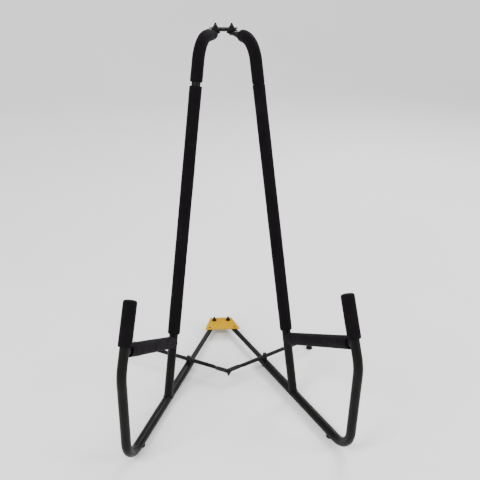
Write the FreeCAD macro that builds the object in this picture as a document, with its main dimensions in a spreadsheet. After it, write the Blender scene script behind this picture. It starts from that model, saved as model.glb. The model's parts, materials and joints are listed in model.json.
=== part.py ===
import FreeCAD, Part

import math
import os

import Sketcher
from FreeCAD import Placement, Rotation, Vector

# Folding A-frame stand for a guitar or a larger string instrument.
#
# Two mirrored side frames of bent steel tube swing about two upright hinge axes, through a channel at the
# top and a plate near the floor. Each frame has a leaning rail, an arm for the body of the instrument and a
# short upright post, all in foam sleeves. Two outrigger bars lie over the base tubes, meet at a knuckle and
# end in rubber feet.
#
# Every side frame is drawn in its own plane: X runs forward from the hinge axis, Z is up, and Y is the
# frame's thickness. An outrigger is drawn from its pivot: X runs out towards its foot. Lengths are in
# millimetres.

DRIVING_SIZES = {
    # frame tubes and rods
    "tube_radius": 12.7,
    "tube_wall": 1.5,
    "foam_wall": 5.0,
    "rod_radius": 7.8,
    "link_radius": 6.0,
    "link_wall": 1.2,
    # hinge axes
    "hinge_half_spacing": 23.7,
    "open_half_angle": 21.2,
    # base tube, leg and post: one tube, given by its corners
    "base_rear_end": 248.0,
    "corner_forward": 730.0,
    "corner_radius": 64.0,
    "kink_lean": 8.0,
    "kink_height": 284.0,
    "kink_radius": 120.0,
    "post_end_setback": 62.0,
    "post_end_height": 447.0,
    # rail
    "rail_foot_forward": 443.3,
    "rail_corner_forward": 138.5,
    "tab_height": 994.0,
    "rail_bend_radius": 80.0,
    "tab_length": 16.0,
    "tab_taper": 48.0,
    "tab_thickness": 8.0,
    "tab_width": 28.0,
    # arm
    "arm_rail_height": 177.0,
    "arm_post_height": 341.0,
    # foam sleeves
    "rail_foam_foot_height": 202.0,
    "rail_foam_seam_height": 877.0,
    "left_foam_top_forward": 26.0,
    "right_foam_top_forward": 70.0,
    "left_foam_gap": 11.0,
    "right_foam_gap": 0.6,
    "arm_foam_end_gap": 5.0,
    "post_foam_overlap": 8.0,
    "post_foam_cap": 8.0,
    "post_foam_round": 5.0,
    # feet
    "foot_drop": 6.0,
    "front_foot_setback": 89.0,
    "front_foot_radius": 10.0,
    "foot_stem_radius": 3.0,
    "foot_chamfer": 1.5,
    "pad_radius": 10.5,
    "pad_height": 9.0,
    "stem_radius": 4.5,
    # bolts, nuts and washers
    "hinge_bolt_radius": 4.0,
    "link_bolt_radius": 3.0,
    "running_clearance": 0.05,
    "washer_thickness": 1.0,
    "washer_margin": 5.0,
    "head_height": 3.5,
    "head_margin": 4.0,
    "nut_hex_height": 4.5,
    "nut_hex_margin": 3.6,
    "nut_cone_height": 9.5,
    "nut_tip_radius": 2.2,
    "nut_crown": 3.0,
    "lock_nut_height": 5.0,
    # hinge plates
    "plate_thickness": 2.5,
    "plate_rear_reach": 19.0,
    "plate_front_reach": 57.0,
    "plate_rear_half_width": 36.0,
    "plate_front_half_width": 58.5,
    "rivet_forward": 50.0,
    "rivet_radius": 2.4,
    "rivet_head_margin": 1.4,
    "rivet_head_height": 1.2,
    "rub_strip_thickness": 0.5,
    "channel_height": 9.0,
    "channel_wall": 2.5,
    "channel_overhang": 18.0,
    "channel_half_depth": 14.0,
    # hinge rod
    "rod_flat_thickness": 12.0,
    "rod_flat_length": 14.0,
    "rod_nose": 9.0,
    "rod_insert_depth": 70.0,
    "bushing_depth": 32.0,
    "bushing_flange": 3.0,
    "bushing_wall": 0.8,
    # outriggers
    "pivot_forward": 265.0,
    "link_inner_length": 140.0,
    "link_outer_length": 190.0,
    "link_overhang": 11.0,
    "eye_thickness": 3.0,
    "eye_radius": 8.5,
    "eye_flat_length": 40.0,
    "eye_taper": 14.0,
    "eye_gap": 0.3,
    "link_spacer_thickness": 2.5,
    "plug_lip": 2.0,
    "plug_depth": 12.0,
}

doc = FreeCAD.newDocument("InstrumentStand")
sheet = doc.addObject("Spreadsheet::Sheet", "Sizes")
for row, (alias, number) in enumerate(DRIVING_SIZES.items(), start=1):
    sheet.set(f"A{row}", alias)
    sheet.set(f"B{row}", str(number))
    sheet.setAlias(f"B{row}", alias)
doc.recompute()


class Size:
    """A length with its value and the expression that binds it to the sheet."""

    def __init__(self, value, text):
        self.value = float(value)
        self.text = text

    @staticmethod
    def of(other):
        return other if isinstance(other, Size) else Size(other, f"({other})")

    def __add__(self, other):
        other = Size.of(other)
        return Size(self.value + other.value, f"({self.text} + {other.text})")

    def __sub__(self, other):
        other = Size.of(other)
        return Size(self.value - other.value, f"({self.text} - {other.text})")

    def __mul__(self, factor):
        return Size(self.value * factor, f"({self.text} * {factor})")

    def __neg__(self):
        return Size(-self.value, f"(0 - {self.text})")


def cell(alias):
    """The sheet's cell of that alias."""
    return Size(sheet.get(alias), f"Sizes.{alias}")


ZERO = Size(0.0, "0")
SIZE = {alias: cell(alias) for alias in DRIVING_SIZES}

# Sizes that follow from the driving ones.
TUBE = SIZE["tube_radius"]
TUBE_BORE = TUBE - SIZE["tube_wall"]
FOAM = TUBE + SIZE["foam_wall"]
AXIS_HEIGHT = TUBE + SIZE["foot_drop"]
TAB_HEIGHT = SIZE["tab_height"]
TAPER_MOUTH = SIZE["tab_length"] + SIZE["tab_taper"]
HINGE_HOLE = SIZE["hinge_bolt_radius"] + SIZE["running_clearance"]
LINK_HOLE = SIZE["link_bolt_radius"] + SIZE["running_clearance"]
FRONT_FOOT_FORWARD = SIZE["corner_forward"] - SIZE["front_foot_setback"]
ROD_HEIGHT = AXIS_HEIGHT + (TUBE_BORE - SIZE["rod_radius"] - SIZE["bushing_wall"])
PLATE_BOTTOM = ROD_HEIGHT + SIZE["rod_radius"] + SIZE["rub_strip_thickness"]
CHANNEL_BOTTOM = TAB_HEIGHT + SIZE["tab_thickness"] * 0.5 + SIZE["washer_thickness"]
LINK_HEIGHT = AXIS_HEIGHT + TUBE + SIZE["link_spacer_thickness"] + SIZE["link_radius"]

OPEN_ANGLE = SIZE["open_half_angle"].value
HINGE_HALF = SIZE["hinge_half_spacing"].value
SIDES = {"left": -1, "right": 1}
nodes = []


# ---------------------------------------------------------------- helpers


def at(forward=0.0, height=0.0, across=0.0, direction=None):
    """A placement in a frame's plane, with Z turned to direction if that is given."""
    turn = Rotation(Vector(0, 0, 1), direction) if direction else Rotation()
    return Placement(Vector(forward, across, height), turn)


def bind(thing, prop, size):
    """Sets a property, and keeps it tied to the sheet where it is a size."""
    if isinstance(size, Size):
        setattr(thing, prop, size.value)
        thing.setExpression(prop, size.text)
    else:
        setattr(thing, prop, size)


def cylinder(radius, height, where=None):
    made = doc.addObject("Part::Cylinder", "Cylinder")
    bind(made, "Radius", radius)
    bind(made, "Height", height)
    made.Placement = where or Placement()
    return made


def box(length, width, height, where):
    made = doc.addObject("Part::Box", "Box")
    bind(made, "Length", length)
    bind(made, "Width", width)
    bind(made, "Height", height)
    made.Placement = where
    return made


def circle(radius, where):
    made = doc.addObject("Part::Circle", "Circle")
    bind(made, "Radius", radius)
    made.Placement = where
    return made


def ellipse(major, minor, where):
    made = doc.addObject("Part::Ellipse", "Ellipse")
    bind(made, "MajorRadius", major)
    bind(made, "MinorRadius", minor)
    made.Placement = where
    return made


def loft(*sections):
    made = doc.addObject("Part::Loft", "Loft")
    made.Sections = list(sections)
    made.Solid = True
    made.Ruled = True
    return made


def prism(radius, height, where):
    made = doc.addObject("Part::Prism", "Prism")
    made.Polygon = 6
    bind(made, "Circumradius", radius)
    bind(made, "Height", height)
    made.Placement = where
    return made


def cut(base, *tools):
    for tool in tools:
        made = doc.addObject("Part::Cut", "Cut")
        made.Base = base
        made.Tool = tool
        base = made
    return base


def fuse(base, *others):
    made = doc.addObject("Part::MultiFuse", "Fuse")
    made.Shapes = [base, *others]
    made.Refine = True
    return made


def bent_wire(corners, radii):
    """A path of straight runs joined by tangent arcs, in the XZ plane, through (forward, height) corners."""
    points = [Vector(x, 0, z) for x, z in corners]
    edges = []
    start = points[0]
    for corner, following, radius in zip(points[1:-1], points[2:], radii):
        back = (start - corner).normalize()
        ahead = (following - corner).normalize()
        half = back.getAngle(ahead) / 2
        reach = radius / math.tan(half)
        middle = corner + (back + ahead).normalize() * (radius / math.sin(half) - radius)
        first = corner + back * reach
        last = corner + ahead * reach
        edges.append(Part.LineSegment(start, first).toShape())
        edges.append(Part.Arc(first, middle, last).toShape())
        start = last
    edges.append(Part.LineSegment(start, points[-1]).toShape())
    made = doc.addObject("Part::Feature", "Path")
    made.Shape = Part.Wire(edges)
    return made


def swept(path, radius):
    """A round bar of that radius along a path."""
    edges = path.Shape.Edges
    start = edges[0].valueAt(edges[0].FirstParameter)
    along = edges[0].tangentAt(edges[0].FirstParameter)
    made = doc.addObject("Part::Sweep", "Sweep")
    made.Sections = [circle(radius, Placement(start, Rotation(Vector(0, 0, 1), along)))]
    made.Spine = (path, [f"Edge{i + 1}" for i in range(len(edges))])
    made.Solid = True
    made.Frenet = True
    return made


def polygon(body, plane, points, holes=()):
    """A closed outline of (x, y) sizes on one of the body's own planes, each corner tied to the sheet."""
    sketch = body.newObject("Sketcher::SketchObject", "Outline")
    roles = {feature.Role: feature for feature in body.Origin.OriginFeatures}
    sketch.AttachmentSupport = [(roles[plane], "")]
    sketch.MapMode = "FlatFace"
    corners = [Vector(x.value, y.value, 0) for x, y in points]
    for i, corner in enumerate(corners):
        sketch.addGeometry(Part.LineSegment(corner, corners[(i + 1) % len(corners)]))
    for i in range(len(corners)):
        sketch.addConstraint(Sketcher.Constraint("Coincident", i, 2, (i + 1) % len(corners), 1))
    for i, (x, y) in enumerate(points):
        tie(sketch, "DistanceX", i, 1, x)
        tie(sketch, "DistanceY", i, 1, y)
    for x, y, radius in holes:
        ring = sketch.addGeometry(Part.Circle(Vector(x.value, y.value, 0), Vector(0, 0, 1), radius.value))
        tie(sketch, "DistanceX", ring, 3, x)
        tie(sketch, "DistanceY", ring, 3, y)
        index = sketch.addConstraint(Sketcher.Constraint("Radius", ring, radius.value))
        sketch.setExpression(f"Constraints[{index}]", radius.text)
    return sketch


def tie(sketch, kind, geometry, point, size):
    """Places a sketch point at a size from the origin, along one axis."""
    if size.value == 0:
        axis = -2 if kind == "DistanceX" else -1
        sketch.addConstraint(Sketcher.Constraint("PointOnObject", geometry, point, axis))
        return
    index = sketch.addConstraint(Sketcher.Constraint(kind, -1, 1, geometry, point, size.value))
    sketch.setExpression(f"Constraints[{index}]", size.text)


def turned(points):
    """A body turned about Z, from a closed outline of (radius, height) sizes."""
    body = doc.addObject("PartDesign::Body", "Turned")
    sketch = polygon(body, "XZ_Plane", points)
    feature = body.newObject("PartDesign::Revolution", "Revolution")
    feature.Profile = sketch
    feature.ReferenceAxis = (sketch, ["V_Axis"])
    feature.Angle = 360
    sketch.Visibility = False
    return body


def plate(points, thickness, holes):
    """A flat plate in the XY plane, padded upwards."""
    body = doc.addObject("PartDesign::Body", "Plate")
    sketch = polygon(body, "XY_Plane", points, holes)
    feature = body.newObject("PartDesign::Pad", "Pad")
    feature.Profile = sketch
    bind(feature, "Length", thickness)
    return body


def ring(outer, inner, height):
    """A washer or a straight sleeve that stands on the XY plane."""
    return turned([(inner, ZERO), (outer, ZERO), (outer, height), (inner, height)])


def node(made, label, where):
    """Names a finished piece and puts it in its place."""
    made.Label = label
    made.Placement = where.multiply(made.Placement)
    nodes.append(made)
    return made


# ---------------------------------------------------------------- common fasteners


def cone_nut(bolt_radius):
    """A hex nut drawn out to a closed cone, with its seat at height zero."""
    hexagon = prism(bolt_radius + SIZE["nut_hex_margin"], SIZE["nut_hex_height"], Placement())
    cone = doc.addObject("Part::Cone", "Cone")
    bind(cone, "Radius1", bolt_radius + SIZE["nut_hex_margin"] * 0.5)
    bind(cone, "Radius2", SIZE["nut_tip_radius"])
    bind(cone, "Height", SIZE["nut_cone_height"])
    cone.Placement = at(height=SIZE["nut_hex_height"].value)
    depth = SIZE["nut_hex_height"] + SIZE["nut_crown"]
    return cut(fuse(hexagon, cone), cylinder(bolt_radius, depth))


def bolt(radius, length):
    """A button-head bolt that stands on its head: the head hangs below height zero."""
    rim = radius + SIZE["head_margin"]
    head = SIZE["head_height"]
    return turned(
        [
            (ZERO, -head),
            (rim * 0.6, -head),
            (rim, head * -0.35),
            (rim, ZERO),
            (radius, ZERO),
            (radius, length),
            (ZERO, length),
        ]
    )


def group(label, pieces):
    """Identical pieces that share one node."""
    made = doc.addObject("Part::Compound", "Group")
    made.Links = pieces
    return node(made, label, Placement())


# ---------------------------------------------------------------- a side frame


def direction(start, end):
    """The unit vector in the frame's plane from one (forward, height) point to another."""
    return Vector(end[0] - start[0], 0, end[1] - start[1]).normalize()


def numbers(*sizes):
    return tuple(size.value for size in sizes)


RAIL_FOOT = numbers(SIZE["rail_foot_forward"], AXIS_HEIGHT)
RAIL_CORNER = numbers(SIZE["rail_corner_forward"], TAB_HEIGHT)
CORNER = numbers(SIZE["corner_forward"], AXIS_HEIGHT)
KINK = numbers(SIZE["corner_forward"] + SIZE["kink_lean"], SIZE["kink_height"])
POST_END = numbers(SIZE["corner_forward"] - SIZE["post_end_setback"], SIZE["post_end_height"])


def on_line(start, end, height):
    """The (forward, height) point of a line at that height."""
    share = (height - start[1]) / (end[1] - start[1])
    return (start[0] + (end[0] - start[0]) * share, height)


ARM_AT_RAIL = on_line(RAIL_FOOT, RAIL_CORNER, SIZE["arm_rail_height"].value)
ARM_AT_POST = on_line(KINK, POST_END, SIZE["arm_post_height"].value)


def distance(start, end):
    return math.hypot(end[0] - start[0], end[1] - start[1])


def along(start, end, radius):
    """A solid round bar between two (forward, height) points."""
    length = distance(start, end)
    return cylinder(radius, length, at(*start, direction=direction(start, end)))


def sleeve(start, end, outer, inner):
    return cut(along(start, end, outer), along(start, end, inner))


def base_tube(radius):
    """The base tube, the leg and the post, as one bar along their path."""
    rear = numbers(SIZE["base_rear_end"], AXIS_HEIGHT)
    radii = numbers(SIZE["corner_radius"], SIZE["kink_radius"])
    return swept(bent_wire([rear, CORNER, KINK, POST_END], radii), radius)


def upright(forward, radius, length, height=0.0):
    """A solid bar that stands in the frame's plane, for a hole or a stem."""
    return cylinder(radius, length, at(forward.value, height))


def make_base_tube(side, where):
    hollow = cut(base_tube(TUBE), base_tube(TUBE_BORE))
    pivot_hole = upright(SIZE["pivot_forward"], LINK_HOLE, AXIS_HEIGHT * 2 + TUBE)
    stem_hole = upright(FRONT_FOOT_FORWARD, SIZE["foot_stem_radius"], AXIS_HEIGHT)
    node(cut(hollow, pivot_hole, stem_hole), f"{side}_base_tube", where)


def rail_path(first_forward, last):
    """The rail's path from a point on its level top to a point on its straight run."""
    first = (first_forward, TAB_HEIGHT.value)
    return bent_wire([first, RAIL_CORNER, last], numbers(SIZE["rail_bend_radius"]))


def cross_section(forward, height):
    """A placement for an outline that stands across the frame's X axis, its own X along the thickness."""
    turn = Rotation(Vector(0, 1, 0), Vector(0, 0, 1), Vector(1, 0, 0), "ZXY")
    return Placement(Vector(forward, 0, height), turn)


def tab_taper():
    """The stretch of the rail where the round tube is pressed down to the flat tab."""
    level = TAB_HEIGHT.value
    round_end = circle(TUBE, cross_section(TAPER_MOUTH.value, level))
    flat_place = cross_section(SIZE["tab_length"].value, level)
    flat_end = ellipse(SIZE["tab_width"] * 0.5, SIZE["tab_thickness"] * 0.5, flat_place)
    return loft(round_end, flat_end)


def tab():
    """The flat end of the rail, rounded across its edges and round its nose."""
    half_width, half_height = SIZE["tab_width"] * 0.5, SIZE["tab_thickness"] * 0.5
    level = TAB_HEIGHT.value
    ends = [cross_section(x, level) for x in (SIZE["tab_length"].value, -half_width.value)]
    bar = loft(*[ellipse(half_width, half_height, end) for end in ends])
    bottom = level - half_height.value
    nose = cylinder(half_width, SIZE["tab_thickness"], at(0, bottom))
    corner = at(0, bottom, -half_width.value)
    shank = box(SIZE["tab_length"], SIZE["tab_width"], SIZE["tab_thickness"], corner)
    made = doc.addObject("Part::Common", "Common")
    made.Base = bar
    made.Tool = fuse(nose, shank)
    return made


def make_rail_tube(side, where):
    """The rail: coped onto the base tube at its foot, pressed flat round the hinge bolt at its top."""
    path = rail_path(TAPER_MOUTH.value, RAIL_FOOT)
    base = along((0.0, AXIS_HEIGHT.value), CORNER, TUBE)
    tube = cut(swept(path, TUBE), swept(path, TUBE_BORE), base)
    under_tab = TAB_HEIGHT - SIZE["tab_thickness"]
    bolt_hole = upright(ZERO, HINGE_HOLE, SIZE["tab_thickness"] * 2, under_tab.value)
    rail = cut(fuse(tube, tab_taper(), tab()), bolt_hole)
    node(rail, f"{side}_rail_tube", where)


def make_arm_tube(side, where):
    tube = sleeve(ARM_AT_RAIL, ARM_AT_POST, TUBE, TUBE_BORE)
    rail = along(RAIL_FOOT, RAIL_CORNER, TUBE)
    post = along(KINK, POST_END, TUBE)
    node(cut(tube, rail, post), f"{side}_arm_tube", where)


def shifted(start, end, first, last):
    """The two points of a line that lie first past its start and last before its end."""
    run = direction(start, end)
    begin = (start[0] + run.x * first, start[1] + run.z * first)
    finish = (end[0] - run.x * last, end[1] - run.z * last)
    return begin, finish


def make_foams(side, where):
    gap = SIZE[f"{side}_foam_gap"].value / 2
    foot = on_line(RAIL_FOOT, RAIL_CORNER, SIZE["rail_foam_foot_height"].value)
    seam = on_line(RAIL_FOOT, RAIL_CORNER, SIZE["rail_foam_seam_height"].value)
    below, _ = shifted(seam, foot, gap, 0)
    above, _ = shifted(seam, RAIL_CORNER, gap, 0)
    node(sleeve(foot, below, FOAM, TUBE), f"{side}_rail_foam_lower", where)
    skin = swept(rail_path(SIZE[f"{side}_foam_top_forward"].value, above), FOAM)
    upper = cut(skin, swept(rail_path(TAPER_MOUTH.value, above), TUBE), tab_taper())
    node(upper, f"{side}_rail_foam_upper", where)
    end_gap = TUBE.value + SIZE["arm_foam_end_gap"].value
    arm_ends = shifted(ARM_AT_RAIL, ARM_AT_POST, end_gap, end_gap)
    node(sleeve(*arm_ends, FOAM, TUBE), f"{side}_arm_foam", where)
    # The post's sleeve is closed at the top, and its lower edge is cut away round the arm.
    start, _ = shifted(ARM_AT_POST, POST_END, (FOAM - SIZE["post_foam_overlap"]).value, 0)
    tube_top = Size.of(distance(start, POST_END))
    top_height = tube_top + SIZE["post_foam_cap"]
    round_by = SIZE["post_foam_round"]
    cap = turned(
        [
            (TUBE, ZERO),
            (FOAM, ZERO),
            (FOAM, top_height - round_by),
            (FOAM - round_by * 0.3, top_height - round_by * 0.3),
            (FOAM - round_by, top_height),
            (ZERO, top_height),
            (ZERO, tube_top + SIZE["plug_lip"]),
            (TUBE, tube_top + SIZE["plug_lip"]),
        ]
    )
    cap.Placement = at(*start, direction=direction(start, POST_END))
    node(cut(cap, along(ARM_AT_RAIL, ARM_AT_POST, FOAM)), f"{side}_post_foam", where)


def end_plug(outer, bore, depth):
    """A moulded plug for a tube's end: its lip stands on the end, its body hangs inside."""
    return turned(
        [
            (ZERO, -depth),
            (bore - 1.0, -depth),
            (bore, ZERO - 2.0),
            (bore, ZERO),
            (outer, ZERO),
            (outer, SIZE["plug_lip"]),
            (ZERO, SIZE["plug_lip"]),
        ]
    )


def make_post_plug(side, where):
    spot = at(*POST_END, direction=direction(KINK, POST_END))
    node(end_plug(TUBE, TUBE_BORE, SIZE["plug_depth"]), f"{side}_post_plug", where.multiply(spot))


def make_hinge_rod(side, where):
    """The rod from the hinge bolt into the top of the base tube's bore, with flats at its eye."""
    level = ROD_HEIGHT.value
    rear = -SIZE["rod_nose"].value
    front = SIZE["base_rear_end"].value + SIZE["rod_insert_depth"].value
    rod = along((rear, level), (front, level), SIZE["rod_radius"])
    length = SIZE["rod_nose"] + SIZE["rod_flat_length"]
    width = SIZE["rod_radius"] * 2
    half_flat = SIZE["rod_flat_thickness"].value / 2
    flats = [
        box(length, width, SIZE["rod_radius"], at(rear, bottom, -SIZE["rod_radius"].value))
        for bottom in (level + half_flat, level - half_flat - SIZE["rod_radius"].value)
    ]
    eye = upright(ZERO, HINGE_HOLE, ROD_HEIGHT * 2)
    pivot = upright(SIZE["pivot_forward"], LINK_HOLE, ROD_HEIGHT * 2)
    node(cut(rod, *flats, eye, pivot), f"{side}_hinge_rod", where)


def make_bushing(side, where):
    """The moulded collar that fills the base tube's rear end round the hinge rod."""
    mouth = SIZE["base_rear_end"].value
    rear = mouth - SIZE["bushing_flange"].value
    front = mouth + SIZE["bushing_depth"].value
    level = AXIS_HEIGHT.value
    flange = along((rear, level), (mouth, level), TUBE)
    barrel = along((mouth, level), (front, level), TUBE_BORE)
    bore = along((rear, ROD_HEIGHT.value), (front, ROD_HEIGHT.value), SIZE["rod_radius"])
    pivot = upright(SIZE["pivot_forward"], LINK_HOLE, AXIS_HEIGHT * 2)
    node(cut(fuse(flange, barrel), bore, pivot), f"{side}_rod_bushing", where)


def make_front_foot(side, where):
    """A rubber foot pushed into the base tube by its stem and shaped to the tube above."""
    radius, chamfer = SIZE["front_foot_radius"], SIZE["foot_chamfer"]
    pad = turned(
        [
            (ZERO, ZERO),
            (radius - chamfer, ZERO),
            (radius, chamfer),
            (radius, AXIS_HEIGHT * 0.75),
            (ZERO, AXIS_HEIGHT * 0.75),
        ]
    )
    pad.Placement = at(FRONT_FOOT_FORWARD.value)
    tube = along((0.0, AXIS_HEIGHT.value), CORNER, TUBE)
    stem = upright(FRONT_FOOT_FORWARD, SIZE["foot_stem_radius"], AXIS_HEIGHT - SIZE["tube_wall"], 1.0)
    node(fuse(cut(pad, tube), stem), f"{side}_front_foot", where)


def make_pivot_fasteners(side, where):
    """The bolt that fixes the rod in the base tube and carries the outrigger, with its nut and washer."""
    forward = SIZE["pivot_forward"].value
    under = SIZE["foot_drop"].value
    seat = LINK_HEIGHT + SIZE["link_radius"]
    shank = seat + SIZE["lock_nut_height"] - SIZE["foot_drop"]
    node(bolt(SIZE["link_bolt_radius"], shank), f"{side}_pivot_bolt", where.multiply(at(forward, under)))
    hexagon = prism(
        SIZE["link_bolt_radius"] + SIZE["nut_hex_margin"],
        SIZE["lock_nut_height"],
        Placement(),
    )
    nut = cut(hexagon, cylinder(SIZE["link_bolt_radius"], SIZE["lock_nut_height"]))
    node(nut, f"{side}_pivot_nut", where.multiply(at(forward, seat.value)))
    on_tube = at(forward, (AXIS_HEIGHT + TUBE).value)
    spacer = ring(SIZE["link_bolt_radius"] + SIZE["washer_margin"], LINK_HOLE, SIZE["link_spacer_thickness"])
    node(spacer, f"{side}_pivot_spacer", where.multiply(on_tube))


# ---------------------------------------------------------------- an outrigger


def eye_level(side):
    """The height of the middle of an outrigger's flat eye: the right one lies on the left one."""
    step = (SIZE["eye_thickness"] + SIZE["eye_gap"]) * 0.5
    return (LINK_HEIGHT + step if side == "right" else LINK_HEIGHT - step).value


def make_link_bar(side, where):
    """A round tube, pressed flat towards the knuckle so that the two bars fold past each other."""
    inner, outer = -SIZE["link_inner_length"].value, SIZE["link_outer_length"].value
    level, middle = LINK_HEIGHT.value, eye_level(side)
    flat_end = inner + SIZE["eye_flat_length"].value
    round_start = flat_end + SIZE["eye_taper"].value
    far = outer + SIZE["link_overhang"].value
    bar = along((round_start, level), (far, level), SIZE["link_radius"])
    bore = along((round_start, level), (far, level), SIZE["link_radius"] - SIZE["link_wall"])
    half = SIZE["eye_thickness"] * 0.5
    taper = loft(
        circle(SIZE["link_radius"], cross_section(round_start, level)),
        ellipse(SIZE["eye_radius"], half, cross_section(flat_end, middle)),
    )
    eye_bottom = middle - half.value
    eye = cylinder(SIZE["eye_radius"], SIZE["eye_thickness"], at(inner, eye_bottom))
    side_edge = -SIZE["eye_radius"].value
    neck_place = at(inner, eye_bottom, side_edge)
    neck = box(SIZE["eye_flat_length"], SIZE["eye_radius"] * 2, SIZE["eye_thickness"], neck_place)
    knuckle_hole = cylinder(LINK_HOLE, SIZE["eye_thickness"] * 2, at(inner, eye_bottom - half.value))
    pivot_hole = cylinder(LINK_HOLE, LINK_HEIGHT * 2, at())
    stem_hole = cylinder(SIZE["foot_stem_radius"], LINK_HEIGHT * 2, at(outer))
    solid = fuse(cut(bar, bore), taper, eye, neck)
    node(cut(solid, knuckle_hole, pivot_hole, stem_hole), f"{side}_outrigger_bar", where)
    plug = end_plug(SIZE["link_radius"], SIZE["link_radius"] - SIZE["link_wall"], SIZE["plug_lip"] * 2)
    outward = at(far, level, direction=Vector(1, 0, 0))
    node(plug, f"{side}_outrigger_plug", where.multiply(outward))


def make_link_foot(side, where):
    """A steel stem that hangs from the bar and the rubber pad on its end."""
    outer = SIZE["link_outer_length"].value
    under_bar = LINK_HEIGHT - SIZE["link_radius"]
    overlap = SIZE["pad_height"] * 0.5
    top = LINK_HEIGHT + SIZE["link_radius"]
    stem = turned(
        [
            (ZERO, overlap),
            (SIZE["stem_radius"], overlap),
            (SIZE["stem_radius"], under_bar),
            (SIZE["foot_stem_radius"], under_bar),
            (SIZE["foot_stem_radius"], top),
            (SIZE["foot_stem_radius"] + 2.0, top),
            (SIZE["foot_stem_radius"], top + 1.5),
            (ZERO, top + 1.5),
        ]
    )
    node(stem, f"{side}_outrigger_stem", where.multiply(at(outer)))
    radius, chamfer = SIZE["pad_radius"], SIZE["foot_chamfer"]
    pad = turned(
        [
            (ZERO, ZERO),
            (radius - chamfer, ZERO),
            (radius, chamfer),
            (radius, overlap),
            (SIZE["stem_radius"] + 1.5, SIZE["pad_height"]),
            (SIZE["stem_radius"], SIZE["pad_height"]),
            (SIZE["stem_radius"], overlap),
            (ZERO, overlap),
        ]
    )
    node(pad, f"{side}_outrigger_foot", where.multiply(at(outer)))


def make_knuckle(side, where):
    """The knuckle's bolt, cut between the eyes: its head turns with the right bar, its nut with the left."""
    inner = -SIZE["link_inner_length"].value
    half = SIZE["eye_thickness"] * 0.5
    if side == "right":
        level = eye_level(side) + half.value
        head = bolt(SIZE["link_bolt_radius"], SIZE["eye_thickness"])
        upside_down = Placement(Vector(inner, 0, level), Rotation(Vector(1, 0, 0), 180))
        node(head, "knuckle_bolt", where.multiply(upside_down))
        return
    level = eye_level(side) - half.value
    downwards = Placement(Vector(inner, 0, level), Rotation(Vector(1, 0, 0), 180))
    depth = SIZE["nut_hex_height"] + SIZE["nut_crown"]
    above_seat = at(0, -SIZE["eye_thickness"].value)
    stud = cylinder(SIZE["link_bolt_radius"], SIZE["eye_thickness"] + depth, above_seat)
    node(stud, "knuckle_bolt_end", where.multiply(downwards))
    node(cone_nut(SIZE["link_bolt_radius"]), "knuckle_nut", where.multiply(downwards))


# ---------------------------------------------------------------- the hinge plates


def make_hinge_plate():
    """The flat four-cornered plate over the two hinge rods, with rivets that hold a rub strip under it."""
    rear, front = SIZE["plate_rear_reach"], -SIZE["plate_front_reach"]
    narrow, wide = SIZE["plate_rear_half_width"], SIZE["plate_front_half_width"]
    turn = math.radians(OPEN_ANGLE)
    reach = SIZE["rivet_forward"]
    rivet_x = SIZE["hinge_half_spacing"] + reach * math.sin(turn)
    rivet_y = reach * -math.cos(turn)
    half = SIZE["hinge_half_spacing"]
    outline = [(-narrow, rear), (-wide, front), (wide, front), (narrow, rear)]
    holes = [(half * sign, ZERO, HINGE_HOLE) for sign in SIDES.values()]
    rivet_holes = [(rivet_x * sign, rivet_y, SIZE["rivet_radius"]) for sign in SIDES.values()]
    metal = plate(outline, SIZE["plate_thickness"], holes + rivet_holes)
    node(metal, "hinge_plate", at(height=PLATE_BOTTOM.value))
    strip_half = SIZE["rivet_radius"] * 2.0
    strip_outline = [
        (-rivet_x - strip_half, rivet_y + strip_half),
        (-rivet_x - strip_half, rivet_y - strip_half),
        (rivet_x + strip_half, rivet_y - strip_half),
        (rivet_x + strip_half, rivet_y + strip_half),
    ]
    strip = plate(strip_outline, SIZE["rub_strip_thickness"], rivet_holes)
    bottom = PLATE_BOTTOM.value - SIZE["rub_strip_thickness"].value
    node(strip, "rub_strip", at(height=bottom))
    rivets = []
    for sign in SIDES.values():
        radius, rim = SIZE["rivet_radius"], SIZE["rivet_radius"] + SIZE["rivet_head_margin"]
        top = SIZE["plate_thickness"] + SIZE["rub_strip_thickness"]
        rivet = turned(
            [
                (ZERO, ZERO),
                (radius, ZERO),
                (radius, top),
                (rim, top),
                (radius, top + SIZE["rivet_head_height"]),
                (ZERO, top + SIZE["rivet_head_height"]),
            ]
        )
        rivet.Placement = Placement(Vector(rivet_x.value * sign, rivet_y.value, bottom), Rotation())
        rivets.append(rivet)
    group("plate_rivets", rivets)


def make_top_channel():
    """The channel over the two rail tabs: round at its ends, open to the rear, with a web along its front."""
    half, depth = SIZE["hinge_half_spacing"], SIZE["channel_half_depth"]
    height, wall = SIZE["channel_height"], SIZE["channel_wall"]
    reach = half + SIZE["channel_overhang"]
    centre = reach - depth
    middle = box(centre * 2, depth * 2, height, at(-centre.value, 0, -depth.value))
    ends = [cylinder(depth, height, at(centre.value * sign)) for sign in SIDES.values()]
    mouth_place = at(-reach.value, wall.value, (wall - depth).value)
    mouth = box(reach * 2, depth * 2 - wall, height - wall * 2, mouth_place)
    holes = [cylinder(HINGE_HOLE, height, at(half.value * sign)) for sign in SIDES.values()]
    node(cut(fuse(middle, *ends), mouth, *holes), "top_channel", at(height=CHANNEL_BOTTOM.value))


def make_hinge_fasteners(name, under, seat):
    """Two bolts with their heads at the height under, and their cone nuts on the height seat."""
    bolts, nuts = [], []
    for sign in SIDES.values():
        screw = bolt(SIZE["hinge_bolt_radius"], seat + SIZE["nut_hex_height"] - under)
        screw.Placement = at(HINGE_HALF * sign, under.value)
        bolts.append(screw)
        nut = cone_nut(SIZE["hinge_bolt_radius"])
        nut.Placement = at(HINGE_HALF * sign, seat.value)
        nuts.append(nut)
    group(f"{name}_hinge_bolts", bolts)
    group(f"{name}_hinge_nuts", nuts)


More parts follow.
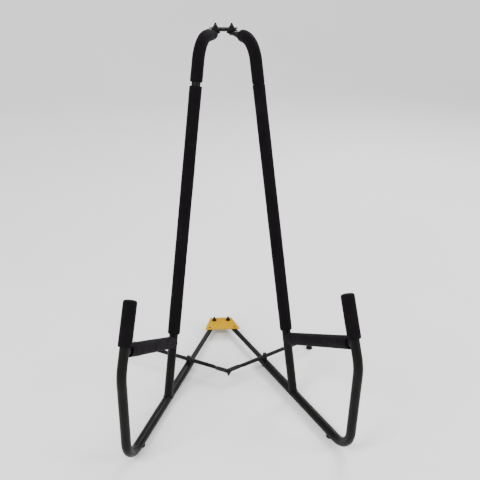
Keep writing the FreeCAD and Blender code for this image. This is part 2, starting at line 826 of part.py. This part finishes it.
def make_hinge_washers(name, bottom, thickness):
    spacers = []
    for sign in SIDES.values():
        rim = SIZE["hinge_bolt_radius"] + SIZE["washer_margin"]
        spacer = ring(rim, HINGE_HOLE, thickness)
        spacer.Placement = at(HINGE_HALF * sign, bottom.value)
        spacers.append(spacer)
    group(f"{name}_hinge_washers", spacers)


# ---------------------------------------------------------------- the whole stand


def link_angle():
    """The outrigger's angle from the X axis, which brings its inner end onto the middle plane."""
    turn = math.radians(OPEN_ANGLE)
    pivot_x = HINGE_HALF + SIZE["pivot_forward"].value * math.sin(turn)
    return math.degrees(math.acos(pivot_x / SIZE["link_inner_length"].value))


def main():
    half_flat = SIZE["rod_flat_thickness"] * 0.5
    half_tab = SIZE["tab_thickness"] * 0.5
    for side, sign in SIDES.items():
        frame = Placement(Vector(HINGE_HALF * sign, 0, 0), Rotation(Vector(0, 0, 1), -90 + sign * OPEN_ANGLE))
        makers = [
            make_rail_tube,
            make_base_tube,
            make_arm_tube,
            make_hinge_rod,
            make_bushing,
            make_foams,
            make_post_plug,
            make_front_foot,
            make_pivot_fasteners,
        ]
        for make in makers:
            make(side, frame)
        pivot = frame.multVec(Vector(SIZE["pivot_forward"].value, 0, 0))
        heading = link_angle() if sign > 0 else 180 - link_angle()
        outrigger = Placement(pivot, Rotation(Vector(0, 0, 1), heading))
        make_link_bar(side, outrigger)
        make_link_foot(side, outrigger)
        make_knuckle(side, outrigger)
    make_hinge_plate()
    make_top_channel()
    make_hinge_fasteners("base", ROD_HEIGHT - half_flat, PLATE_BOTTOM + SIZE["plate_thickness"])
    make_hinge_fasteners("top", TAB_HEIGHT - half_tab, CHANNEL_BOTTOM + SIZE["channel_height"])
    make_hinge_washers("base", ROD_HEIGHT + half_flat, PLATE_BOTTOM - ROD_HEIGHT - half_flat)
    make_hinge_washers("top", TAB_HEIGHT + half_tab, SIZE["washer_thickness"])
    doc.recompute()
    centre_on_origin()
    check()
    write()


def centre_on_origin():
    """Moves every piece alike, so that the origin is under the middle of the whole stand."""
    whole = FreeCAD.BoundBox()
    for piece in nodes:
        whole.add(piece.Shape.optimalBoundingBox(False, False))
    shift = Vector(0, -whole.Center.y, 0)
    for piece in nodes:
        piece.Placement = Placement(shift, Rotation()).multiply(piece.Placement)
    doc.recompute()
    print(f"hinge axes at y = {shift.y:.4f}, floor at z = {whole.ZMin:.4f}")
    print(f"size {whole.XLength:.1f} x {whole.YLength:.1f} x {whole.ZLength:.1f}")
    print(f"outriggers {link_angle():.4f} degrees from the X axis")


def check():
    for thing in doc.Objects:
        if "Invalid" in thing.State or "Error" in thing.State:
            raise RuntimeError(f"{thing.Label} failed: {thing.State}")
    for piece in nodes:
        shape = piece.Shape
        if shape.isNull() or not shape.isValid() or shape.Volume <= 0:
            raise RuntimeError(f"{piece.Label} has no valid shape")


def write():
    os.makedirs("parts", exist_ok=True)
    for piece in nodes:
        piece.Shape.exportStep(f"parts/{piece.Label}.step")


main()
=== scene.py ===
import json
import math

import bmesh
import bpy
from mathutils import Matrix, Vector, noise


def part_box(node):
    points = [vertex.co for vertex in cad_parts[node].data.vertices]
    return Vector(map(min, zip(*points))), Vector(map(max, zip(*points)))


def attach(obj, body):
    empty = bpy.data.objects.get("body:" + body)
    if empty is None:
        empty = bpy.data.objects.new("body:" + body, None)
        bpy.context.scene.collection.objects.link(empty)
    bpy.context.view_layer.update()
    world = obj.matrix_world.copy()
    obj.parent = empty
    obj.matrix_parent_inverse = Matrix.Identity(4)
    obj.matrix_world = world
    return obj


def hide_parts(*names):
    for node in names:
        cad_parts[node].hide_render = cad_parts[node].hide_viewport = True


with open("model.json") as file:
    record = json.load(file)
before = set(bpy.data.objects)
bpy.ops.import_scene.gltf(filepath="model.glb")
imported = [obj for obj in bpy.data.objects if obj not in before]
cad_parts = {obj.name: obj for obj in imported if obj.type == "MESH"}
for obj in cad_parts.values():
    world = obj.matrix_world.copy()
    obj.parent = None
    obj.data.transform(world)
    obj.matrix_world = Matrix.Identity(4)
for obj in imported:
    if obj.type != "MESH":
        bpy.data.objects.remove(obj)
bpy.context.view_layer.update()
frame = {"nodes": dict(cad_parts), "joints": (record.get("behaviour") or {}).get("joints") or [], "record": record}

MM = 0.001
SIDES = ("left", "right")
TUBE_RADIUS = 12.7 * MM

joints = {joint["name"]: joint for joint in frame["joints"]}
hinge_y = joints["left_frame_swing"]["pos_m"][1]
hinge_half_spacing = joints["right_frame_swing"]["pos_m"][0]
open_half_angle = math.radians(joints["left_frame_swing"]["range_deg"][1])


# ---------------------------------------------------------------- materials


def new_material(name):
    """A material with its Principled shader, ready for nodes."""
    made = bpy.data.materials.new(name)
    made.use_nodes = True
    return made, made.node_tree.nodes, made.node_tree.links, made.node_tree.nodes["Principled BSDF"]


def noise_node(nodes, links, scale, detail=4.0, roughness=0.55):
    """Noise in the object's own space. scale is in waves per metre."""
    place = nodes.new("ShaderNodeTexCoord")
    made = nodes.new("ShaderNodeTexNoise")
    made.inputs["Scale"].default_value = scale
    made.inputs["Detail"].default_value = detail
    made.inputs["Roughness"].default_value = roughness
    links.new(place.outputs["Object"], made.inputs["Vector"])
    return made.outputs["Fac"]


def cell_node(nodes, links, scale):
    """The distance to the nearest cell's middle, for pores and pebbles."""
    place = nodes.new("ShaderNodeTexCoord")
    made = nodes.new("ShaderNodeTexVoronoi")
    made.inputs["Scale"].default_value = scale
    links.new(place.outputs["Object"], made.inputs["Vector"])
    return made.outputs["Distance"]


def ramp(nodes, links, source, stops):
    """A colour ramp over a value. stops are (position, colour) pairs."""
    made = nodes.new("ShaderNodeValToRGB")
    while len(made.color_ramp.elements) < len(stops):
        made.color_ramp.elements.new(0.5)
    for element, (position, colour) in zip(made.color_ramp.elements, stops):
        element.position = position
        element.color = (*colour, 1.0)
    links.new(source, made.inputs["Fac"])
    return made.outputs["Color"]


def mapped(nodes, links, source, low, high, start=0.3, end=0.7):
    """Maps a value from start..end to low..high."""
    made = nodes.new("ShaderNodeMapRange")
    made.inputs["From Min"].default_value = start
    made.inputs["From Max"].default_value = end
    made.inputs["To Min"].default_value = low
    made.inputs["To Max"].default_value = high
    links.new(source, made.inputs["Value"])
    return made.outputs["Result"]


def mixed(nodes, links, factor, first, second):
    made = nodes.new("ShaderNodeMix")
    made.data_type = "RGBA"
    links.new(factor, made.inputs["Factor"])
    links.new(first, made.inputs["A"])
    links.new(second, made.inputs["B"])
    return made.outputs["Result"]


def bump(nodes, links, source, distance, strength, under=None):
    """A bump of that height in metres, over another bump if there is one."""
    made = nodes.new("ShaderNodeBump")
    made.inputs["Distance"].default_value = distance
    made.inputs["Strength"].default_value = strength
    links.new(source, made.inputs["Height"])
    if under is not None:
        links.new(under, made.inputs["Normal"])
    return made.outputs["Normal"]


def set_sockets(shader, **values):
    for key, value in values.items():
        shader.inputs[key.replace("_", " ")].default_value = value


def foam_material():
    """Closed-cell foam: near black with a faint purple cast, pored with painted shade in each pore's pit, dulled
    where hands rub it.
    """
    made, nodes, links, shader = new_material("closed_cell_foam")
    broad = ramp(
        nodes,
        links,
        noise_node(nodes, links, 14.0, 5.0),
        [(0.32, (0.0022, 0.0014, 0.0022)), (0.55, (0.0036, 0.0025, 0.0037)), (0.75, (0.0066, 0.005, 0.0068))],
    )
    # Painted shade: darker at the middle of each pore, on the same cells that the skin bump below sinks into pits.
    painted_pore_shade = ramp(
        nodes,
        links,
        cell_node(nodes, links, 750.0),
        [(0.05, (0.0012, 0.0008, 0.0012)), (0.4, (0.0048, 0.0034, 0.0049))],
    )
    grain = mapped(nodes, links, noise_node(nodes, links, 420.0, 2.0), 0.15, 0.7)
    links.new(mixed(nodes, links, grain, broad, painted_pore_shade), shader.inputs["Base Color"])
    links.new(mapped(nodes, links, noise_node(nodes, links, 60.0), 0.72, 0.93), shader.inputs["Roughness"])
    swell = bump(nodes, links, noise_node(nodes, links, 95.0, 3.0), 0.0006, 0.35)
    skin = bump(nodes, links, cell_node(nodes, links, 750.0), 0.00035, 0.6, swell)
    fine = bump(nodes, links, noise_node(nodes, links, 2600.0, 2.0), 0.00015, 0.6, skin)
    links.new(fine, shader.inputs["Normal"])
    set_sockets(shader, Sheen_Weight=0.02, Sheen_Roughness=0.5, Specular_IOR_Level=0.05)
    shader.inputs["Sheen Tint"].default_value = (0.75, 0.7, 0.8, 1.0)
    return made


def coat_material(name, dark, light, roughness, peel, coat, shine=0.1):
    """Powder coat or paint: orange peel, faint scuffs and a little dust."""
    made, nodes, links, shader = new_material(name)
    base = ramp(nodes, links, noise_node(nodes, links, 22.0, 6.0), [(0.35, dark), (0.7, light)])
    scuff = noise_node(nodes, links, 180.0, 8.0, 0.7)
    worn = ramp(nodes, links, scuff, [(0.0, light), (1.0, tuple(min(1.0, c * 1.8 + 0.01) for c in light))])
    amount = mapped(nodes, links, scuff, 0.0, 0.8, 0.66, 0.76)
    links.new(mixed(nodes, links, amount, base, worn), shader.inputs["Base Color"])
    low, high = roughness
    rough = mapped(nodes, links, noise_node(nodes, links, 38.0, 6.0), low, high)
    links.new(rough, shader.inputs["Roughness"])
    skin = bump(nodes, links, noise_node(nodes, links, 620.0, 2.0), peel, 0.5)
    links.new(bump(nodes, links, scuff, 0.00004, 0.3, skin), shader.inputs["Normal"])
    set_sockets(shader, Coat_Weight=coat, Coat_Roughness=0.3, Specular_IOR_Level=shine)
    return made


def metal_material(name, colour, roughness):
    """Plated steel with fine tool marks and darker stains."""
    made, nodes, links, shader = new_material(name)
    shade = tuple(c * 0.55 for c in colour)
    base = ramp(nodes, links, noise_node(nodes, links, 160.0, 6.0), [(0.3, shade), (0.65, colour)])
    links.new(base, shader.inputs["Base Color"])
    rough = mapped(nodes, links, noise_node(nodes, links, 300.0, 4.0), roughness * 0.75, roughness * 1.3)
    links.new(rough, shader.inputs["Roughness"])
    marks = bump(nodes, links, noise_node(nodes, links, 1500.0, 3.0), 0.00005, 0.5)
    links.new(marks, shader.inputs["Normal"])
    set_sockets(shader, Metallic=0.85)
    return made


def moulded_material(name, colour, roughness, grain_scale, grain_height):
    """Moulded plastic or rubber with a fine spark-eroded grain."""
    made, nodes, links, shader = new_material(name)
    pale = tuple(c * 1.7 + 0.002 for c in colour)
    base = ramp(nodes, links, noise_node(nodes, links, 90.0, 5.0), [(0.35, colour), (0.75, pale)])
    links.new(base, shader.inputs["Base Color"])
    low, high = roughness * 0.85, min(1.0, roughness * 1.2)
    rough = mapped(nodes, links, noise_node(nodes, links, 220.0, 3.0), low, high)
    links.new(rough, shader.inputs["Roughness"])
    grain = bump(nodes, links, noise_node(nodes, links, grain_scale, 2.0), grain_height, 0.5)
    links.new(grain, shader.inputs["Normal"])
    set_sockets(shader, Specular_IOR_Level=0.15)
    return made


def weld_material():
    """Painted-over weld: the same black coat, rougher, with spatter."""
    made, nodes, links, shader = new_material("coated_weld")
    base = ramp(
        nodes,
        links,
        noise_node(nodes, links, 260.0, 5.0),
        [(0.3, (0.0022, 0.0021, 0.0019)), (0.7, (0.005, 0.0048, 0.0044))],
    )
    links.new(base, shader.inputs["Base Color"])
    links.new(mapped(nodes, links, noise_node(nodes, links, 400.0), 0.35, 0.6), shader.inputs["Roughness"])
    links.new(bump(nodes, links, noise_node(nodes, links, 700.0, 4.0), 0.0003, 0.6), shader.inputs["Normal"])
    set_sockets(shader, Specular_IOR_Level=0.1)
    return made


MATERIALS = {
    "black_foam": foam_material(),
    "black_powder_coat": coat_material(
        "black_powder_coat", (0.0022, 0.0021, 0.0019), (0.0044, 0.0042, 0.0038), (0.34, 0.48), 0.00003, 0.0
    ),
    # Satin black steel: its own black finish, painted lighter and lilac-tinted than the powder coat as a painted
    # reflection of the bright sky.
    "black_satin_steel": coat_material(
        "black_satin_paint_with_painted_reflection", (0.0055, 0.005, 0.0056), (0.01, 0.0094, 0.0102), (0.4, 0.55), 0.00003, 0.0
    ),
    "yellow_plate": coat_material(
        "golden_yellow_paint", (0.43, 0.235, 0.0), (0.49, 0.275, 0.0), (0.5, 0.65), 0.00004, 0.0, 0.03
    ),
    "rivet_metal": metal_material("reddish_brown_rivet", (0.13, 0.028, 0.014), 0.5),
    "black_zinc": metal_material("black_zinc", (0.016, 0.016, 0.018), 0.42),
    "black_plastic": moulded_material("black_plastic", (0.004, 0.004, 0.0045), 0.42, 1400.0, 0.00008),
    "black_rubber": moulded_material("black_rubber", (0.004, 0.004, 0.004), 0.75, 900.0, 0.00015),
    "nylon": moulded_material("black_nylon", (0.006, 0.006, 0.006), 0.55, 1100.0, 0.00006),
}
WELD = weld_material()

slot_of = {row["node"]: row["material_slot"] for row in frame["record"]["subparts"]}
body_of = {node: body for body, nodes in frame["record"]["behaviour"]["bodies"].items() for node in nodes}

for node_name, cad_object in frame["nodes"].items():
    cad_object.data.materials.clear()
    cad_object.data.materials.append(MATERIALS[slot_of[node_name]])


# ---------------------------------------------------------------- foam sleeves

SLEEVE_VOXEL = 1.6 * MM
SLEEVE_ROUNDING = 4
SLEEVE_WAVES = ((9.0, 0.35 * MM), (31.0, 0.22 * MM), (85.0, 0.1 * MM))
PINCH_NEAR = 22 * MM
PINCH_FAR = 62 * MM
PINCH_DEPTH = 0.75

pinch_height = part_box("top_channel")[0].z - 5 * MM


def remeshed(source, voxel):
    """A new mesh of even small faces round a CAD node's solid."""
    worker = bpy.data.objects.new("remesh_worker", source.data.copy())
    bpy.context.scene.collection.objects.link(worker)
    modifier = worker.modifiers.new("Remesh", "REMESH")
    modifier.mode = "VOXEL"
    modifier.voxel_size = voxel
    evaluated = worker.evaluated_get(bpy.context.evaluated_depsgraph_get())
    mesh = bpy.data.meshes.new_from_object(evaluated)
    bpy.data.objects.remove(worker)
    return mesh


def pinch(work):
    """Presses the end of a rail's sleeve down where it runs in under the top channel."""
    for vertex in work.verts:
        reach = (vertex.co.xy - Vector((math.copysign(hinge_half_spacing, vertex.co.x), hinge_y))).length
        near = 1 - min(1.0, max(0.0, (reach - PINCH_NEAR) / (PINCH_FAR - PINCH_NEAR)))
        above = vertex.co.z - pinch_height
        if above > 0:
            vertex.co.z -= above * PINCH_DEPTH * near * near * (3 - 2 * near)


def soften(mesh):
    """Rounds the sleeve's cut ends, then gives it the slight swells of foam pulled over a tube."""
    work = bmesh.new()
    work.from_mesh(mesh)
    axes = {"use_axis_x": True, "use_axis_y": True, "use_axis_z": True}
    for _ in range(SLEEVE_ROUNDING):
        bmesh.ops.smooth_vert(work, verts=work.verts, factor=0.5, **axes)
    pinch(work)
    work.normal_update()
    for vertex in work.verts:
        swell = sum(height * noise.noise(vertex.co * waves) for waves, height in SLEEVE_WAVES)
        vertex.co += vertex.normal * swell
    for face in work.faces:
        face.smooth = True
    work.to_mesh(mesh)
    work.free()


def make_sleeve(node_name):
    mesh = remeshed(frame["nodes"][node_name], SLEEVE_VOXEL)
    soften(mesh)
    mesh.materials.clear()
    mesh.materials.append(MATERIALS["black_foam"])
    sleeve = bpy.data.objects.new(f"{node_name}_sleeve", mesh)
    bpy.context.scene.collection.objects.link(sleeve)
    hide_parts(node_name)
    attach(sleeve, body_of[node_name])


for foam_node in [name for name in frame["nodes"] if "_foam" in name]:
    make_sleeve(foam_node)


# ---------------------------------------------------------------- weld beads

BEAD_RADIUS = 2.0 * MM
BEAD_STEPS = 96
BEAD_SIDES = 12
BEAD_RIPPLES = 26
RIPPLE_HEIGHT = 0.1
UNEVENNESS = 0.15
UNEVENNESS_WAVES = 300
AXIS_PASSES = 20
END_SHARE = 0.1


def long_axis(node_name):
    """The middle of the lower end of a long straight node, and its direction up."""
    points = [vertex.co.copy() for vertex in frame["nodes"][node_name].data.vertices]
    lowest = min(points, key=lambda point: point.z)
    highest = max(points, key=lambda point: point.z)
    middle = sum(points, Vector()) / len(points)
    direction = (highest - lowest).normalized()
    for _ in range(AXIS_PASSES):
        direction = sum(((p - middle) * (p - middle).dot(direction) for p in points), Vector()).normalized()
    ends = [(p - middle).dot(direction) for p in points]
    length = max(ends) - min(ends)
    first = [p for p, along in zip(points, ends) if along < min(ends) + END_SHARE * length]
    last = [p for p, along in zip(points, ends) if along > max(ends) - END_SHARE * length]
    start, end = sum(first, Vector()) / len(first), sum(last, Vector()) / len(last)
    if end.z < start.z:
        start, end = end, start
    return start, (end - start).normalized()


def saddle(branch_point, branch_direction, run_point, run_direction):
    """The closed line where a tube leaves the surface of another of the same radius."""
    across = branch_direction.orthogonal().normalized()
    side = branch_direction.cross(across)
    points = []
    for step in range(BEAD_STEPS):
        turn = 2 * math.pi * step / BEAD_STEPS
        start = branch_point + (across * math.cos(turn) + side * math.sin(turn)) * TUBE_RADIUS
        offset = (start - run_point) - run_direction * (start - run_point).dot(run_direction)
        slope = branch_direction - run_direction * branch_direction.dot(run_direction)
        a, b, c = slope.dot(slope), 2 * slope.dot(offset), offset.dot(offset) - TUBE_RADIUS**2
        root = (-b + math.sqrt(max(0.0, b * b - 4 * a * c))) / (2 * a)
        points.append(start + branch_direction * root)
    return points


def make_bead(name, body, points):
    """A rippled bead along a closed line."""
    work = bmesh.new()
    rings = []
    count = len(points)
    centre = sum(points, Vector()) / count
    for step, point in enumerate(points):
        tangent = (points[(step + 1) % count] - points[step - 1]).normalized()
        outward = (point - centre).normalized()
        up = tangent.cross(outward).normalized()
        outward = up.cross(tangent).normalized()
        ripple = 1 + RIPPLE_HEIGHT * math.sin(2 * math.pi * BEAD_RIPPLES * step / count)
        ripple += UNEVENNESS * noise.noise(point * UNEVENNESS_WAVES)
        ring = []
        for corner in range(BEAD_SIDES):
            angle = 2 * math.pi * corner / BEAD_SIDES
            spoke = outward * math.cos(angle) + up * math.sin(angle)
            ring.append(work.verts.new(point + spoke * BEAD_RADIUS * ripple))
        rings.append(ring)
    for step in range(count):
        following = rings[(step + 1) % count]
        for corner in range(BEAD_SIDES):
            after = (corner + 1) % BEAD_SIDES
            near, far = rings[step][corner], rings[step][after]
            face = work.faces.new((near, far, following[after], following[corner]))
            face.smooth = True
    bmesh.ops.recalc_face_normals(work, faces=work.faces)
    mesh = bpy.data.meshes.new(name)
    work.to_mesh(mesh)
    work.free()
    mesh.materials.append(WELD)
    bead = bpy.data.objects.new(name, mesh)
    bpy.context.scene.collection.objects.link(bead)
    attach(bead, body)


for side, sign in zip(SIDES, (-1, 1)):
    body = f"{side}_frame"
    low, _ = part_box(f"{side}_base_tube")
    base_point = Vector((hinge_half_spacing * sign, hinge_y, low.z + TUBE_RADIUS))
    base_direction = Vector((math.sin(open_half_angle) * sign, -math.cos(open_half_angle), 0))
    rail_point, rail_direction = long_axis(f"{side}_rail_foam_lower")
    arm_point, arm_direction = long_axis(f"{side}_arm_foam")
    make_bead(f"{side}_rail_foot_weld", body, saddle(rail_point, rail_direction, base_point, base_direction))
    make_bead(f"{side}_arm_weld", body, saddle(arm_point, arm_direction, rail_point, rail_direction))


# ---------------------------------------------------------------- camera, floor and light

CAMERA_OFFSET = Vector((-0.1593, -2.143, 1.2723))
CAMERA_YAW = math.radians(-5.84)
CAMERA_PITCH = math.radians(23.56)
CAMERA_ROLL = math.radians(1.07)
CAMERA_LENS = 53.54


def make_camera():
    data = bpy.data.cameras.new("camera")
    data.lens = CAMERA_LENS
    data.sensor_width = 36.0
    camera = bpy.data.objects.new("camera", data)
    bpy.context.scene.collection.objects.link(camera)
    turn = (
        Matrix.Rotation(CAMERA_YAW, 3, "Z")
        @ Matrix.Rotation(math.pi / 2 - CAMERA_PITCH, 3, "X")
        @ Matrix.Rotation(CAMERA_ROLL, 3, "Z")
    )
    camera.matrix_world = Matrix.Translation(Vector((0, hinge_y, 0)) + CAMERA_OFFSET) @ turn.to_4x4()
    bpy.context.scene.camera = camera


def make_floor():
    """A pale floor that curves up into a backdrop far behind the stand."""
    made, nodes, links, shader = new_material("pale_floor")
    stops = [(0.3, (0.9, 0.9, 0.9)), (0.7, (0.93, 0.93, 0.93))]
    tone = ramp(nodes, links, noise_node(nodes, links, 1.5, 3.0), stops)
    links.new(tone, shader.inputs["Base Color"])
    set_sockets(shader, Roughness=0.9)
    work = bmesh.new()
    half_width, front, back, rise, curve = 8.0, -6.0, 4.0, 5.0, 2.0
    profile = [(front, 0.0), (back, 0.0)]
    bends = 16
    for step in range(1, bends + 1):
        angle = math.pi / 2 * step / bends
        profile.append((back + curve * math.sin(angle), curve * (1 - math.cos(angle))))
    profile.append((back + curve, rise))
    rows = [[work.verts.new((x, y, z)) for x in (-half_width, half_width)] for y, z in profile]
    for near, far in zip(rows, rows[1:]):
        work.faces.new((near[0], near[1], far[1], far[0])).smooth = True
    mesh = bpy.data.meshes.new("floor")
    work.to_mesh(mesh)
    work.free()
    mesh.materials.append(made)
    floor = bpy.data.objects.new("floor", mesh)
    bpy.context.scene.collection.objects.link(floor)


def make_light(name, place, size, power):
    """A soft square lamp that points at the middle of the stand."""
    data = bpy.data.lights.new(name, "AREA")
    data.shape = "SQUARE"
    data.size = size
    data.energy = power
    lamp = bpy.data.objects.new(name, data)
    bpy.context.scene.collection.objects.link(lamp)
    lamp.location = place
    lamp.rotation_euler = (Vector((0, 0, 0.45)) - Vector(place)).to_track_quat("-Z", "Y").to_euler()


def make_world():
    world = bpy.data.worlds.new("studio")
    bpy.context.scene.world = world
    world.use_nodes = True
    background = world.node_tree.nodes["Background"]
    background.inputs["Color"].default_value = (1.0, 1.0, 1.0, 1.0)
    background.inputs["Strength"].default_value = 1.1


make_camera()
make_floor()
make_light("key_light", (-2.2, -2.4, 3.0), 1.6, 150)
make_light("fill_light", (2.8, -1.6, 1.8), 1.2, 55)
make_light("rim_light", (1.6, 2.2, 2.6), 1.4, 70)
make_world()
